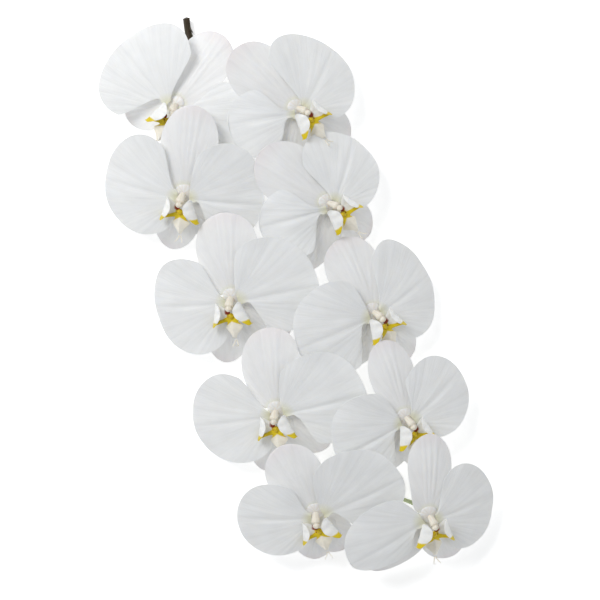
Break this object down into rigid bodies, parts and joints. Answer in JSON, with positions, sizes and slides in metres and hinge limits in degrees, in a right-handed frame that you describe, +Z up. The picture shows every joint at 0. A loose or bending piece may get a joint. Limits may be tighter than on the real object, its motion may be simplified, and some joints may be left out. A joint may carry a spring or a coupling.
{
  "type": "cut moth orchid spray",
  "caption": "Cut moth orchid spray lying on its back: large white flowers with yellow-throated lips set in two ranks, facing up, along one thin arching stem.",
  "frame": {"origin": "middle of the footprint, on the surface the spray lies on", "axes": "+Y along the spray towards the cut end of its stem, +Z up out of the faces of the flowers, +X to the right of a viewer who looks down on it with the cut end at the top"},
  "size_m": [0.2408, 0.3382, 0.0502],
  "materials": {
    "petal": "matt, slightly waxy white petal",
    "sepal": "matt, slightly waxy white sepal, green-tinged at its base",
    "column": "satin cream, waxy",
    "lip": "satin white and golden yellow with a red-brown throat, waxy",
    "stem": "satin dark olive, near black at the cut end"
  },
  "bodies": {
    "root": {"flower_01_sepals": "sepal", "flower_01_petal_left": "petal", "flower_01_petal_right": "petal", "flower_01_lip": "lip", "flower_01_column": "column", "flower_02_sepals": "sepal", "flower_02_petal_left": "petal", "flower_02_petal_right": "petal", "flower_02_lip": "lip", "flower_02_column": "column", "flower_03_sepals": "sepal", "flower_03_petal_left": "petal", "flower_03_petal_right": "petal", "flower_03_lip": "lip", "flower_03_column": "column", "flower_04_sepals": "sepal", "flower_04_petal_left": "petal", "flower_04_petal_right": "petal", "flower_04_lip": "lip", "flower_04_column": "column", "flower_05_sepals": "sepal", "flower_05_petal_left": "petal", "flower_05_petal_right": "petal", "flower_05_lip": "lip", "flower_05_column": "column", "flower_06_sepals": "sepal", "flower_06_petal_left": "petal", "flower_06_petal_right": "petal", "flower_06_lip": "lip", "flower_06_column": "column", "flower_07_sepals": "sepal", "flower_07_petal_left": "petal", "flower_07_petal_right": "petal", "flower_07_lip": "lip", "flower_07_column": "column", "flower_08_sepals": "sepal", "flower_08_petal_left": "petal", "flower_08_petal_right": "petal", "flower_08_lip": "lip", "flower_08_column": "column", "flower_09_sepals": "sepal", "flower_09_petal_left": "petal", "flower_09_petal_right": "petal", "flower_09_lip": "lip", "flower_09_column": "column", "flower_10_sepals": "sepal", "flower_10_petal_left": "petal", "flower_10_petal_right": "petal", "flower_10_lip": "lip", "flower_10_column": "column", "stem": "stem"}
  },
  "joints": []
}
